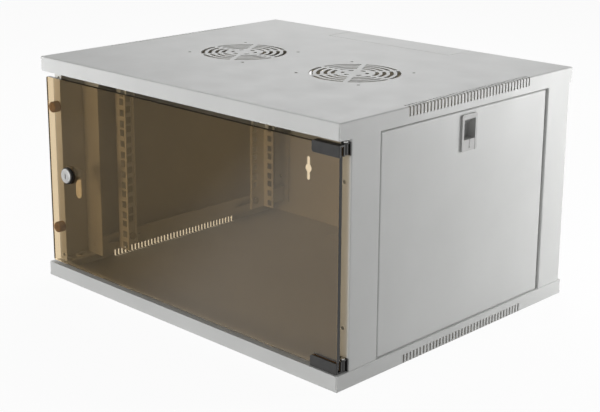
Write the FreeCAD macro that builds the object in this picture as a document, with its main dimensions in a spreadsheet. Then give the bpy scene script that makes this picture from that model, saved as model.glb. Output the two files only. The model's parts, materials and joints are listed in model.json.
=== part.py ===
"""Wall mount network cabinet, 6U: sheet metal frame, glass door, 19 inch rails.

Frame: X across (door hinge at +X), Y to the rear, Z up, origin under the middle of the base.
Formulas measure Y from the front lip, and each sub-part's Placement moves it back by half the
depth. The right-hand pieces are modelled at X > 0 and mirrored for the left.
"""
import FreeCAD, Part
import math
import os
import re
import Sketcher

UP = FreeCAD.Vector(0, 0, 1)
ZERO = FreeCAD.Vector(0, 0, 0)

# Driving dimensions in millimetres.
SIZES = {
    # overall and sheet metal
    "width": 546.0, "depth": 446.0, "height": 312.0,
    "plate": 1.5,             # sheet thickness of covers, columns, sills, rails and panels
    "lip": 20.0,              # height of the lips of the top and base covers
    "side_return": 22.0,      # width of the inward flange on the side lips
    "front_return": 21.0,     # width of the inward flange on the front lip
    "fold": 2.0,              # outside radius of the folded edges
    "seam": 0.8,              # open seam where two lips meet at a corner
    # side vents, in both covers
    "vent_first": 115.5, "vent_rear": 98.5, "vent_pitch": 6.27, "vent_slot": 2.8,
    "vent_tall": 11.7, "vent_reach": 9.0,
    # fan places in the top cover
    "fan_apart": 203.4, "fan_shift": 8.0, "fan_screw_pitch": 105.0, "fan_screw_hole": 4.6,
    "ring_a": 56.1, "ring_b": 46.8, "ring_c": 37.4, "ring_d": 28.2, "ring_e": 15.8,
    "ring_slot": 5.0, "spoke": 5.0, "oval": 8.0,
    # cable entry knock-outs at the rear of both covers
    "entry_half": 111.0, "entry_long": 46.0, "entry_edge": 5.0, "entry_cut": 0.8,
    "entry_bridge": 6.0,
    # corner columns
    "column_inset": 1.0, "column_front": 20.0, "column_face": 16.0, "column_deep": 49.0,
    "column_wing": 35.5, "tab_wide": 18.0, "tab_long": 30.0,
    # sills that carry the rails
    "sill_tall": 23.0, "sill_lift": 2.0, "sill_slot_up": 13.0, "sill_slot": 6.6, "sill_tab": 15.0,
    "slot_ahead": 21.0, "slot_behind": 65.0, "slot_long": 50.0,
    "sill_hole": 4.0, "sill_hole_back": 141.7, "slide_gap": 0.1,
    # 19 inch rails
    "rack_inset": 48.0, "rack_edge": 7.55, "rail_face": 21.0, "rail_side": 30.0,
    "rail_front": 105.5, "rail_behind": 50.0, "rail_low": 22.0, "rail_lip": 2.0,
    "unit": 44.45, "hole_step": 15.875, "square": 9.5, "first_hole": 29.0, "rail_bolt_back": 21.5,
    # side panels
    "panel_recess": 2.5, "panel_front_gap": 1.5, "panel_rear_gap": 2.5, "panel_top_gap": 2.0,
    "panel_flange": 7.0, "panel_round": 2.5, "foot_wide": 25.0, "foot_long": 8.0, "foot_in": 4.0,
    "foot_from_end": 40.0, "foot_gap": 0.3,
    # side panel latch
    "latch_shift": 7.0, "latch_wide": 29.0, "latch_drop": 72.5, "latch_tall": 45.5,
    "latch_proud": 2.3, "latch_back": 17.5, "latch_rim": 2.0, "latch_wall": 1.5,
    "latch_round": 3.0, "latch_gap": 0.3, "tab_tall": 14.0, "ledge": 3.0,
    "tongue_wide": 12.0, "tongue_thick": 2.0, "tongue_set": 8.5, "tongue_catch": 3.5,
    "tongue_foot": 13.0, "shelf": 2.0, "mark_deep": 0.6, "mark_half": 0.4,
    "spring_radius": 2.0, "spring_wire": 0.7, "spring_long": 19.0,
    "scoop_radius": 13.0, "scoop_deep": 7.9, "scoop_tall": 13.5, "scoop_out": 2.0, "scoop_down": 2.5,
    # glass door and its hinge
    "glass_side_gap": 4.5, "glass_front": 4.6, "glass": 5.0, "glass_low": 23.0, "glass_drop": 28.0,
    "glass_corner": 2.0, "hinge_inset": 5.0, "hinge_back": 14.8, "knuckle": 3.0, "pin": 1.5,
    "pin_fit": 0.05, "pin_head": 2.6, "pin_head_tall": 1.1, "ear_tall": 1.6, "hinge_gap": 0.3,
    "knuckle_rise": 1.5, "pin_rise": 2.5,
    "clamp_long": 41.3, "clamp_inset": 2.3, "clamp_tall": 13.2, "clamp_wall": 2.0, "pad": 0.5,
    "clamp_web_gap": 0.2, "clamp_round": 3.0, "clamp_step": 0.7, "clamp_bevel": 1.0, "pad_inset": 1.0,
    "bracket_wide": 14.0, "bracket_tall": 15.0, "bracket_edge": 0.6,
    # lock
    "lock_inset": 46.5, "lock_drop": 3.0, "lock_proud": 1.0, "lock_flange": 10.0,
    "lock_flange_thick": 2.0, "collar": 11.5, "barrel": 9.0, "barrel_end": 22.0, "plug": 6.0,
    "plug_fit": 0.08, "lock_nut_flats": 24.0, "lock_nut_thick": 4.0, "cam_long": 35.5,
    "cam_wide": 12.0, "cam_thick": 2.0, "cam_front": 23.2, "post": 4.0, "key_wide": 1.6,
    "key_tall": 7.0, "key_deep": 6.0, "cam_head": 5.5, "cam_head_tall": 2.0, "cam_thread": 4.0,
    # door bumpers
    "bumper": 7.5, "bumper_inset": 10.5, "bumper_up": 70.5,
    "bumper_gap": 0.3, "bumper_stem": 2.1, "bumper_hole": 2.25, "stem_end": 2.5,
    # rear panel
    "rear_gap": 0.5, "rear_side_gap": 3.0, "key_inset": 79.0, "key_rise": 71.3,
    "key_round": 6.75, "key_slot": 6.5, "key_long": 39.0, "panel_screw_in": 60.0,
    # fasteners: shank radius, head radius, head height, hole clearance
    "rail_bolt": 3.0, "rail_head": 5.0, "rail_head_tall": 4.0, "rail_nut_flats": 10.0,
    "rail_nut_tall": 5.0, "small_bolt": 2.5, "small_head": 4.2, "small_head_tall": 3.0,
    "small_nut_flats": 8.0, "small_nut_tall": 4.0, "low_head_tall": 1.4, "bolt_fit": 0.1,
    "set_screw": 2.0, "bracket_screw": 2.0, "bracket_head": 3.2, "bracket_head_tall": 1.6,
    "nut_fit": 0.02, "bolt_end": 1.0, "screw_end": 4.0,
}

# Dimensions that follow from the driving ones, kept as formulas in the sheet.
DERIVED = {
    "vent_last": "depth - vent_rear",
    "fan_back": "depth / 2 - fan_shift",
    "entry_rear": "depth - entry_edge",
    "entry_front": "entry_rear - entry_long",
    "rack_opening": "width - 2 * rack_inset",
    "rack_pitch": "rack_opening + 2 * rack_edge",
    "rail_rear": "depth - rail_behind",
    "front_slot_start": "rail_front - slot_ahead",
    "rear_slot_start": "rail_rear - slot_behind",
    "units": "floor((height - 2 * rail_low) / unit)",
    "latch_mid": "depth / 2 + latch_shift",
    "latch_low": "height - latch_drop",
    "glass_half": "width / 2 - glass_side_gap",
    "glass_high": "height - glass_drop",
    "hinge_across": "width / 2 - hinge_inset",
    "clamp_end": "width / 2 - clamp_inset",
    "clamp_back_end": "clamp_end - clamp_step",
    "lock_across": "width / 2 - lock_inset",
    "lock_up": "height / 2 - lock_drop",
    "bumper_across": "width / 2 - bumper_inset",
    "bumper_low": "bumper_up",
    "bumper_high": "height - bumper_up",
    "key_across": "width / 2 - key_inset",
    "key_low": "height / 2 - key_rise",
    "key_high": "height / 2 + key_rise",
    "panel_screw_rise": "height / 2 - panel_screw_in",
}

doc = FreeCAD.newDocument("network_cabinet")
sheet = doc.addObject("Spreadsheet::Sheet", "Sizes")
cells = [(alias, str(number)) for alias, number in SIZES.items()]
cells += [(alias, "=" + rule) for alias, rule in DERIVED.items()]
for row, (alias, content) in enumerate(cells, start=1):
    sheet.set("A%d" % row, alias)
    sheet.set("B%d" % row, content)
    sheet.setAlias("B%d" % row, alias)
doc.recompute()

WORDS = re.compile(r"\b(" + "|".join(alias for alias, content in cells) + r")\b")
probe = doc.addObject("App::FeaturePython", "Probe")
probe.addProperty("App::PropertyFloat", "Result")
nodes = {}


def formula(text):
    """A formula over the size names as an expression over the sheet's cells."""
    return WORDS.sub(r"Sizes.\1", str(text))


def bind(thing, place, text):
    """Ties a property or a constraint to a formula over the sizes."""
    thing.setExpression(place, formula(text))


def amount(text):
    """The present value of a formula over the sizes."""
    bind(probe, "Result", text)
    probe.recompute()
    return probe.Result


def keep(label, thing):
    """Names a finished sub-part, which is written to a file of that name, and places it."""
    thing.Label = label
    bind(thing, "Placement.Base.y", "-depth / 2")
    nodes[label] = thing
    return thing


# ---------------------------------------------------------------- sketches and body features

def new_body(label):
    return keep(label, doc.addObject("PartDesign::Body", label + "_body"))


def origin_part(body, role):
    return next(part for part in body.Origin.OriginFeatures if part.Role == role)


def new_sketch(body, plane, level, across="0", along="0", turn=0):
    """A sketch on an origin plane, lifted by level along the plane's normal.

    XY looks down +Z, YZ along +X, and XZ has its normal along -Y, so its level is minus Y.
    """
    sketch = body.newObject("Sketcher::SketchObject", "Sketch")
    sketch.AttachmentSupport = [(origin_part(body, plane + "_Plane"), "")]
    sketch.MapMode = "FlatFace"
    sketch.AttachmentOffset = FreeCAD.Placement(ZERO, FreeCAD.Rotation(UP, turn))
    bind(sketch, "AttachmentOffset.Base.x", across)
    bind(sketch, "AttachmentOffset.Base.y", along)
    bind(sketch, "AttachmentOffset.Base.z", level)
    return sketch


def tie(sketch, kind, *where_and_formula):
    """Adds a dimension bound to a formula; the geometry already has that size."""
    where, text = where_and_formula[:-1], where_and_formula[-1]
    index = sketch.addConstraint(Sketcher.Constraint(kind, *where, amount(text)))
    bind(sketch, "Constraints[%d]" % index, text)


def tie_point(sketch, geometry, point, x, y):
    tie(sketch, "DistanceX", -1, 1, geometry, point, x)
    tie(sketch, "DistanceY", -1, 1, geometry, point, y)


def outline(sketch, corners):
    """A closed outline through corners given as pairs of formulas."""
    start = sketch.GeometryCount
    spots = [FreeCAD.Vector(amount(x), amount(y), 0) for x, y in corners]
    count = len(corners)
    for index in range(count):
        sketch.addGeometry(Part.LineSegment(spots[index], spots[(index + 1) % count]))
    for index in range(count):
        after = start + (index + 1) % count
        sketch.addConstraint(Sketcher.Constraint("Coincident", start + index, 2, after, 1))
    for index, (x, y) in enumerate(corners):
        tie_point(sketch, start + index, 1, x, y)


def rectangle(sketch, x_low, x_high, y_low, y_high):
    outline(sketch, [(x_low, y_low), (x_high, y_low), (x_high, y_high), (x_low, y_high)])


def circle(sketch, x, y, radius):
    middle = FreeCAD.Vector(amount(x), amount(y), 0)
    index = sketch.addGeometry(Part.Circle(middle, UP, amount(radius)))
    tie_point(sketch, index, 3, x, y)
    tie(sketch, "Radius", index, radius)


def arc(middle, radius, start, end):
    return Part.ArcOfCircle(Part.Circle(middle, UP, radius), start, end)


def straight_slot(sketch, x, y, long, wide, upright=False):
    """A slot with round ends about (x, y); its overall length is long."""
    reach = "((%s) - (%s)) / 2" % (long, wide)
    half = amount(wide) / 2
    way = FreeCAD.Vector(0, 1, 0) if upright else FreeCAD.Vector(1, 0, 0)
    side = FreeCAD.Vector(-way.y, way.x, 0) * half
    middle = FreeCAD.Vector(amount(x), amount(y), 0)
    far, near = middle + way * amount(reach), middle - way * amount(reach)
    turn = math.pi / 2 if upright else 0
    first = sketch.addGeometry(arc(far, half, turn - math.pi / 2, turn + math.pi / 2))
    sketch.addGeometry(Part.LineSegment(far + side, near + side))
    sketch.addGeometry(arc(near, half, turn + math.pi / 2, turn + 3 * math.pi / 2))
    sketch.addGeometry(Part.LineSegment(near - side, far - side))
    for index in range(4):
        after = first + (index + 1) % 4
        sketch.addConstraint(Sketcher.Constraint("Tangent", first + index, 2, after, 1))
    x_far = x if upright else "(%s) + %s" % (x, reach)
    y_far = "(%s) + %s" % (y, reach) if upright else y
    x_near = x if upright else "(%s) - %s" % (x, reach)
    y_near = "(%s) - %s" % (y, reach) if upright else y
    tie_point(sketch, first, 3, x_far, y_far)
    tie(sketch, "Radius", first, "(%s) / 2" % wide)
    tie(sketch, "DistanceY" if upright else "DistanceX", -1, 1, first + 2, 3,
        y_near if upright else x_near)


def curved_slot(sketch, ring, rise):
    """A slot on a circle about the sketch's origin, with round ends whose centres lie at +-rise."""
    middle, half = amount(ring), amount("ring_slot") / 2
    turn = math.asin(amount(rise) / middle)
    upper = FreeCAD.Vector(math.cos(turn), math.sin(turn), 0) * middle
    lower = FreeCAD.Vector(upper.x, -upper.y, 0)
    outer = sketch.addGeometry(arc(ZERO, middle + half, -turn, turn))
    top = sketch.addGeometry(arc(upper, half, turn, turn + math.pi))
    inner = sketch.addGeometry(arc(ZERO, middle - half, -turn, turn))
    bottom = sketch.addGeometry(arc(lower, half, math.pi - turn, 2 * math.pi - turn))
    for geometry in (outer, inner):
        sketch.addConstraint(Sketcher.Constraint("Coincident", geometry, 3, -1, 1))
    for one, one_end, other, other_end in ((outer, 2, top, 1), (top, 2, inner, 2),
                                           (inner, 1, bottom, 1), (bottom, 2, outer, 1)):
        sketch.addConstraint(Sketcher.Constraint("Tangent", one, one_end, other, other_end))
    tie(sketch, "Radius", outer, ring + " + ring_slot / 2")
    tie(sketch, "Radius", inner, ring + " - ring_slot / 2")
    tie(sketch, "DistanceY", -1, 1, top, 3, rise)
    tie(sketch, "DistanceY", -1, 1, bottom, 3, "-(%s)" % rise)


def add_pad(body, sketch, length, backwards=False):
    pad = body.newObject("PartDesign::Pad", "Pad")
    pad.Profile = sketch
    bind(pad, "Length", length)
    pad.Reversed = backwards
    body.Tip = pad
    return pad


def add_pocket(body, sketch, length):
    """Cuts against the sketch's normal: down from XY, to the rear from XZ, inwards from YZ."""
    pocket = body.newObject("PartDesign::Pocket", "Pocket")
    pocket.Profile = sketch
    bind(pocket, "Length", length)
    body.Tip = pocket
    return pocket


def repeat_along(body, feature, axis, length, count):
    pattern = body.newObject("PartDesign::LinearPattern", "Pattern")
    pattern.Originals = [feature]
    pattern.Direction = (origin_part(body, axis + "_Axis"), [""])
    bind(pattern, "Length", length)
    bind(pattern, "Occurrences", count)
    body.Tip = pattern
    return pattern


def round_edges(body, feature, chosen, radius, chamfer=False):
    """Rounds or bevels the feature's edges for which chosen(edge) is true."""
    doc.recompute()
    kind = "PartDesign::Chamfer" if chamfer else "PartDesign::Fillet"
    names = ["Edge%d" % (place + 1) for place, edge in enumerate(feature.Shape.Edges) if chosen(edge)]
    finish = body.newObject(kind, "Edges")
    finish.Base = (feature, names)
    bind(finish, "Size" if chamfer else "Radius", radius)
    body.Tip = finish
    return finish


def runs_along(edge, way):
    """True for a straight edge parallel to an axis."""
    if not isinstance(edge.Curve, Part.Line):
        return False
    return abs(edge.tangentAt(edge.FirstParameter).dot(way)) > 0.999


# ---------------------------------------------------------------- plain solids and joins

def block(x, y, z):
    """A box; each of x, y and z is a (low, high) pair of formulas."""
    box = doc.addObject("Part::Box", "Block")
    for place, side, (low, high) in zip("xyz", ("Length", "Width", "Height"), (x, y, z)):
        bind(box, side, "(%s) - (%s)" % (high, low))
        bind(box, "Placement.Base." + place, low)
    return box


TURNS = {"x": FreeCAD.Rotation(FreeCAD.Vector(0, 1, 0), 90),
         "y": FreeCAD.Rotation(FreeCAD.Vector(1, 0, 0), -90),
         "z": FreeCAD.Rotation()}


def rod(way, at, span, radius):
    """A cylinder along the axis named way; at gives its other two coordinates in order."""
    cylinder = doc.addObject("Part::Cylinder", "Rod")
    cylinder.Placement = FreeCAD.Placement(ZERO, TURNS[way])
    others = iter(at)
    for place in "xyz":
        bind(cylinder, "Placement.Base." + place, span[0] if place == way else next(others))
    bind(cylinder, "Radius", radius)
    bind(cylinder, "Height", "(%s) - (%s)" % (span[1], span[0]))
    return cylinder


def hexagon(way, at, span, flats):
    """A six-sided prism along an axis; flats is the width across its flats."""
    prism = doc.addObject("Part::Prism", "Hexagon")
    prism.Polygon = 6
    prism.Placement = FreeCAD.Placement(ZERO, TURNS[way])
    others = iter(at)
    for place in "xyz":
        bind(prism, "Placement.Base." + place, span[0] if place == way else next(others))
    bind(prism, "Circumradius", "(%s) / 2 / cos(30 deg)" % flats)
    bind(prism, "Height", "(%s) - (%s)" % (span[1], span[0]))
    return prism


def joined(pieces):
    fuse = doc.addObject("Part::MultiFuse", "Joined")
    fuse.Shapes = pieces
    return fuse


def without(piece, tools):
    cut = doc.addObject("Part::Cut", "Cut")
    cut.Base = piece
    cut.Tool = tools[0] if len(tools) == 1 else joined(tools)
    return cut


def group(label, pieces):
    """Separate solids that share one node."""
    compound = doc.addObject("Part::Compound", "Group")
    compound.Links = pieces
    return keep(label, compound)


def mirrored(label, piece):
    """The left-hand twin of a right-hand piece."""
    mirror = doc.addObject("Part::Mirroring", "Mirror")
    mirror.Source = piece
    mirror.Normal = FreeCAD.Vector(1, 0, 0)
    mirror.Label = label
    nodes[label] = mirror
    return mirror


def beveled(piece, chosen, size, rounded=False):
    """Bevels or rounds the edges of a plain solid for which chosen(edge) is true."""
    doc.recompute()
    kind = "Part::Fillet" if rounded else "Part::Chamfer"
    finish = doc.addObject(kind, "Edges")
    finish.Base = piece
    width = amount(size)
    finish.Edges = [(place + 1, width, width) for place, edge in enumerate(piece.Shape.Edges)
                    if chosen(edge)]
    return finish


# ---------------------------------------------------------------- top and base covers

HALF = "width / 2"
COLUMN_OUT = "(width / 2 - column_inset)"
REAR_COLUMN = "(depth - 2 * plate - column_deep)"
TAB_BOLT_X = "(%s - plate - tab_wide / 2)" % COLUMN_OUT
TAB_BOLT_Y = ("(column_front + column_deep / 2)", "(%s + column_deep / 2)" % REAR_COLUMN)
FLANGE_X = "(%s - plate - panel_flange)" % HALF
TONGUE_X = "(width / 2 - panel_recess - tongue_set - tongue_thick / 2)"


def cut_rectangles(body, plane, level, depth, corners):
    """One pocket through several rectangles, each (x_low, x_high, y_low, y_high)."""
    sketch = new_sketch(body, plane, level)
    for sides in corners:
        rectangle(sketch, *sides)
    return add_pocket(body, sketch, depth)


def cut_circles(body, plane, level, depth, spots, radius):
    sketch = new_sketch(body, plane, level)
    for x, y in spots:
        circle(sketch, x, y, radius)
    return add_pocket(body, sketch, depth)


def cut_entry(body, level):
    """The cable entry's knock-out: three cuts with a bridge left in the front one."""
    bar = "entry_front + entry_cut"
    cut_rectangles(body, "XY", level, "plate", [
        ("-entry_half", "-entry_bridge", "entry_front", bar),
        ("0", "entry_half", "entry_front", bar),
        ("-entry_half", "-entry_half + entry_cut", bar + " + plate", "entry_rear"),
        ("entry_half - entry_cut", "entry_half", bar + " + plate", "entry_rear")])


def cut_vents(body, low, high):
    """The rows of side vents, which run over the fold onto the cover's flat face."""
    sketch = new_sketch(body, "XZ", "-vent_first")
    rectangle(sketch, "width / 2 - vent_reach", "width / 2 + 1", low, high)
    rectangle(sketch, "-width / 2 - 1", "-width / 2 + vent_reach", low, high)
    vents = add_pocket(body, sketch, "vent_slot")
    repeat_along(body, vents, "Y", "vent_last - vent_first",
                 "round((vent_last - vent_first) / vent_pitch) + 1")


def make_cover(label, top):
    """A shallow pan with folded lips and inward flanges on its front and side lips."""
    body = new_body(label)
    low = "height - lip" if top else "0"
    high = "height" if top else "lip"
    face = "height" if top else "0"
    sketch = new_sketch(body, "XY", low)
    rectangle(sketch, "-" + HALF, HALF, "0", "depth")
    pan = add_pad(body, sketch, "lip")
    level = amount(face)
    round_edges(body, pan, lambda edge: abs(edge.CenterOfMass.z - level) < 0.01, "fold")
    cut_rectangles(body, "XY", high + " - plate", "lip - 2 * plate",
                   [("-%s + plate" % HALF, HALF + " - plate", "plate", "depth - plate")])
    opening_top = "height - lip + plate" if top else "lip"
    cut_rectangles(body, "XY", opening_top, "plate",
                   [("-%s + side_return" % HALF, HALF + " - side_return", "front_return",
                     "depth - plate")])
    for side in ("right", "left"):
        seam_level = HALF if side == "right" else "-%s + plate" % HALF
        cut_rectangles(body, "YZ", seam_level, "plate",
                       [(y, y + " + seam", low if top else "2 * fold",
                         "height - 2 * fold" if top else high)
                        for y in ("0", "depth - seam")])
    cut_vents(body, "height - vent_tall" if top else "-1", "height + 1" if top else "vent_tall")
    cut_entry(body, "height" if top else "plate")
    cut_circles(body, "XY", opening_top, "plate",
                [(sign + TAB_BOLT_X, y) for sign in ("", "-") for y in TAB_BOLT_Y],
                "small_bolt + bolt_fit")
    return body


def cut_fan_place(body, across):
    """A fan's grille of slotted rings between six spokes, and its four screw holes."""
    grille = new_sketch(body, "XY", "height", across, "fan_back", 30)
    for ring in ("ring_a", "ring_b", "ring_c", "ring_d"):
        curved_slot(grille, ring, "%s * sin(30 deg - asin((spoke + ring_slot) / 2 / %s))" % (ring, ring))
    curved_slot(grille, "ring_e", "(oval - ring_slot) / 2")
    slots = add_pocket(body, grille, "plate")
    doc.recompute()
    wheel = body.newObject("PartDesign::PolarPattern", "Spokes")
    wheel.Originals = [slots]
    wheel.Axis = (grille, ["N_Axis"])
    wheel.Angle = 360
    wheel.Occurrences = 6
    body.Tip = wheel
    screws = new_sketch(body, "XY", "height", across, "fan_back")
    for x_sign in ("", "-"):
        for y_sign in ("", "-"):
            circle(screws, x_sign + "fan_screw_pitch / 2", y_sign + "fan_screw_pitch / 2",
                   "fan_screw_hole / 2")
    add_pocket(body, screws, "plate")


def make_top_cover():
    body = make_cover("top_cover", True)
    cut_fan_place(body, "fan_apart / 2")
    cut_fan_place(body, "-fan_apart / 2")
    half_tongue = "tongue_wide / 2 + foot_gap"
    reach = "tongue_thick / 2 + foot_gap"
    cut_rectangles(body, "XY", "height - lip + plate", "plate", [
        (sign + TONGUE_X + " - (%s)" % reach, sign + TONGUE_X + " + %s" % reach,
         "latch_mid - (%s)" % half_tongue, "latch_mid + %s" % half_tongue)
        for sign in ("", "-")])


PANEL_OUT = "(width / 2 - panel_recess)"
PANEL_FRONT = "(column_front + column_deep + panel_front_gap)"
PANEL_REAR = "(%s - panel_rear_gap)" % REAR_COLUMN
FOOT_STARTS = ("(%s + foot_from_end)" % PANEL_FRONT, "(%s - foot_from_end - foot_wide)" % PANEL_REAR)


def make_base_cover():
    body = make_cover("base_cover", False)
    slots = []
    for start in FOOT_STARTS:
        inner = "%s - panel_flange + foot_in - plate - foot_gap" % PANEL_OUT
        outer = "%s - panel_flange + foot_in + foot_gap" % PANEL_OUT
        slots.append((inner, outer, start + " - foot_gap", start + " + foot_wide + foot_gap"))
        slots.append(("-(%s)" % outer, "-(%s)" % inner, start + " - foot_gap",
                      start + " + foot_wide + foot_gap"))
    cut_rectangles(body, "XY", "lip", "plate", slots)


# ---------------------------------------------------------------- frame

SILL_IN = "(rack_opening / 2 + rail_face + slide_gap)"
SILL_SCREW_X = "(%s + plate + (sill_tab - plate) / 2)" % SILL_IN
SILL_LOW = ("(lip + sill_lift)", "(height - lip - sill_lift - sill_tall)")


def make_column(label, front):
    """A C-section column: face, outer side, and a wing at its back edge, with bolted end tabs."""
    body = new_body(label)
    back = front + " + column_deep"
    outer = COLUMN_OUT
    profile = new_sketch(body, "XY", "lip")
    face_end = outer + " - column_face"
    wing_end = outer + " - column_wing"
    outline(profile, [(face_end, front), (outer, front), (outer, back), (wing_end, back),
                      (wing_end, back + " - plate"), (outer + " - plate", back + " - plate"),
                      (outer + " - plate", front + " + plate"), (face_end, front + " + plate")])
    column = add_pad(body, profile, "height - 2 * lip")
    corners = [(amount(outer), amount(y)) for y in (front, back)]

    def outside_corner(edge):
        middle = edge.CenterOfMass
        return runs_along(edge, UP) and any(math.hypot(middle.x - x, middle.y - y) < 0.01
                                            for x, y in corners)
    round_edges(body, column, outside_corner, "fold")
    for level in ("lip", "height - lip - plate"):
        tab = new_sketch(body, "XY", level)
        middle = front + " + column_deep / 2"
        rectangle(tab, outer + " - plate - tab_wide", outer + " - plate",
                  middle + " - tab_long / 2", middle + " + tab_long / 2")
        circle(tab, TAB_BOLT_X, middle, "small_bolt + bolt_fit")
        add_pad(body, tab, "plate")
    cut_circles(body, "XZ", "-(%s - plate)" % back, "plate",
                [(SILL_SCREW_X, low + " + sill_tall / 2") for low in SILL_LOW],
                "small_bolt + bolt_fit")
    return body


BRACKET_SCREW_X = "(%s - bracket_wide + bracket_head + bracket_edge)" % COLUMN_OUT
CLAMP_LOW = ("(glass_low - clamp_web_gap - clamp_wall)",
             "(glass_high + clamp_web_gap + clamp_wall - clamp_tall)")
KNUCKLE_TOP = tuple("(%s + clamp_tall)" % low for low in CLAMP_LOW)
EAR_LOW = tuple("(%s + hinge_gap)" % top for top in KNUCKLE_TOP)
BRACKET_LOW = tuple("(%s + ear_tall - bracket_tall)" % low for low in EAR_LOW)
PANEL_SCREW_Z = ("(height / 2 - panel_screw_rise)", "(height / 2)", "(height / 2 + panel_screw_rise)")


def make_columns():
    front = make_column("column_front_right", "column_front")
    cut_circles(front, "XZ", "-column_front", "plate",
                [("bumper_across", "bumper_low"), ("bumper_across", "bumper_high")], "bumper_hole")
    mirrored("column_front_left", front)
    cut_circles(front, "XZ", "-column_front", "plate",
                [(BRACKET_SCREW_X, low + " + bracket_tall / 2") for low in BRACKET_LOW],
                "bracket_screw + bolt_fit")
    rear = make_column("column_rear_right", REAR_COLUMN)
    cut_circles(rear, "XZ", "-(depth - 3 * plate)", "plate",
                [(SILL_SCREW_X, z) for z in PANEL_SCREW_Z], "small_bolt + bolt_fit")
    mirrored("column_rear_left", rear)


def make_sill(label, low, upper):
    """A plate between the columns' wings with a folded tab at each end and two long slots."""
    body = new_body(label)
    start = "(column_front + column_deep)"
    end = "(depth - 3 * plate)"
    inner = SILL_IN
    tab = inner + " + sill_tab"
    profile = new_sketch(body, "XY", low)
    outline(profile, [(inner, start), (tab, start), (tab, start + " + plate"),
                      (inner + " + plate", start + " + plate"), (inner + " + plate", end + " - plate"),
                      (tab, end + " - plate"), (tab, end), (inner, end)])
    sill = add_pad(body, profile, "sill_tall")
    slot_up = low + (" + sill_tall - sill_slot_up" if upper else " + sill_slot_up")
    slots = new_sketch(body, "YZ", inner + " + plate")
    for first in ("front_slot_start", "rear_slot_start"):
        straight_slot(slots, first + " + slot_long / 2", slot_up, "slot_long", "sill_slot")
    circle(slots, "sill_hole_back", slot_up, "sill_hole / 2")
    add_pocket(body, slots, "plate")
    cut_circles(body, "XZ", "-" + start, "plate",
                [(SILL_SCREW_X, low + " + sill_tall / 2")], "small_bolt + bolt_fit")
    cut_circles(body, "XZ", "-(%s - plate)" % end, "plate",
                [(SILL_SCREW_X, low + " + sill_tall / 2")], "small_bolt + bolt_fit")
    return body


def make_sills():
    for name, low in zip(("lower", "upper"), SILL_LOW):
        sill = make_sill("sill_%s_right" % name, low, name == "upper")
        mirrored("sill_%s_left" % name, sill)


# ---------------------------------------------------------------- rails

RAIL_OUT = "(rack_opening / 2 + rail_face)"
RAIL_BOLT_Z = ("(%s + sill_slot_up)" % SILL_LOW[0], "(%s + sill_tall - sill_slot_up)" % SILL_LOW[1])
RAILS = {"front": ("rail_front", "+"), "rear": ("rail_rear", "-")}


def square_holes(body, plane, level, along, units, first, steps):
    """Square holes at EIA spacing: steps of a unit's three holes, repeated each unit."""
    sketch = new_sketch(body, plane, level)
    for step in steps:
        up = "%s + %s * hole_step" % (first, step)
        rectangle(sketch, along + " - square / 2", along + " + square / 2",
                  up + " - square / 2", up + " + square / 2")
    holes = add_pocket(body, sketch, "plate")
    if units:
        repeat_along(body, holes, "Z", "(%s - 1) * unit" % units, units)


def make_rail(name):
    """An L-section rail with square holes in both flanges; sign turns it to the rear."""
    face, sign = RAILS[name]
    body = new_body("rail_%s_right" % name)

    def back(distance):
        return "(%s %s (%s))" % (face, sign, distance)
    outer = RAIL_OUT
    lip = outer + " - plate - rail_lip"
    profile = new_sketch(body, "XY", "rail_low")
    outline(profile, [("rack_opening / 2", face), (outer, face), (outer, back("rail_side")),
                      (lip, back("rail_side")), (lip, back("rail_side - plate")),
                      (outer + " - plate", back("rail_side - plate")),
                      (outer + " - plate", back("plate")), ("rack_opening / 2", back("plate"))])
    add_pad(body, profile, "height - 2 * rail_low")
    front_level = "-(%s)" % (face if sign == "+" else back("plate"))
    square_holes(body, "XZ", front_level, "rack_pitch / 2", "units", "first_hole", (0, 1, 2))
    side = back("rail_bolt_back")
    square_holes(body, "YZ", outer, side, "(units - 2)", "first_hole + unit", (0, 1, 2))
    square_holes(body, "YZ", outer, side, None, "first_hole", (2,))
    square_holes(body, "YZ", outer, side, None, "first_hole + (units - 1) * unit", (0,))
    cut_circles(body, "YZ", outer, "plate", [(side, z) for z in RAIL_BOLT_Z], "rail_bolt + bolt_fit")
    mirrored("rail_%s_left" % name, body)
    bolts = []
    nuts = []
    head_face = outer + " - plate"
    nut_face = SILL_IN + " + plate + slide_gap"
    for z in RAIL_BOLT_Z:
        head = rod("x", (side, z), (head_face + " - rail_head_tall", head_face), "rail_head")
        shank = rod("x", (side, z), (head_face, nut_face + " + rail_nut_tall + bolt_end"), "rail_bolt")
        bolts.append(joined([head, shank]))
        nut = hexagon("x", (side, z), (nut_face, nut_face + " + rail_nut_tall"), "rail_nut_flats")
        bore = rod("x", (side, z), (nut_face + " - 1", nut_face + " + rail_nut_tall + 1"),
                   "rail_bolt + nut_fit")
        nuts.append(without(nut, [bore]))
    mirrored("rail_%s_left_bolts" % name, group("rail_%s_right_bolts" % name, bolts))
    mirrored("rail_%s_left_nuts" % name, group("rail_%s_right_nuts" % name, nuts))


# ---------------------------------------------------------------- side and rear panels

LATCH_FRONT = "(latch_mid - latch_wide / 2)"
LATCH_REAR = "(latch_mid + latch_wide / 2)"
LATCH_TOP = "(latch_low + latch_tall)"
PANEL_TOP = "(height - lip - panel_top_gap)"


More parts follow.
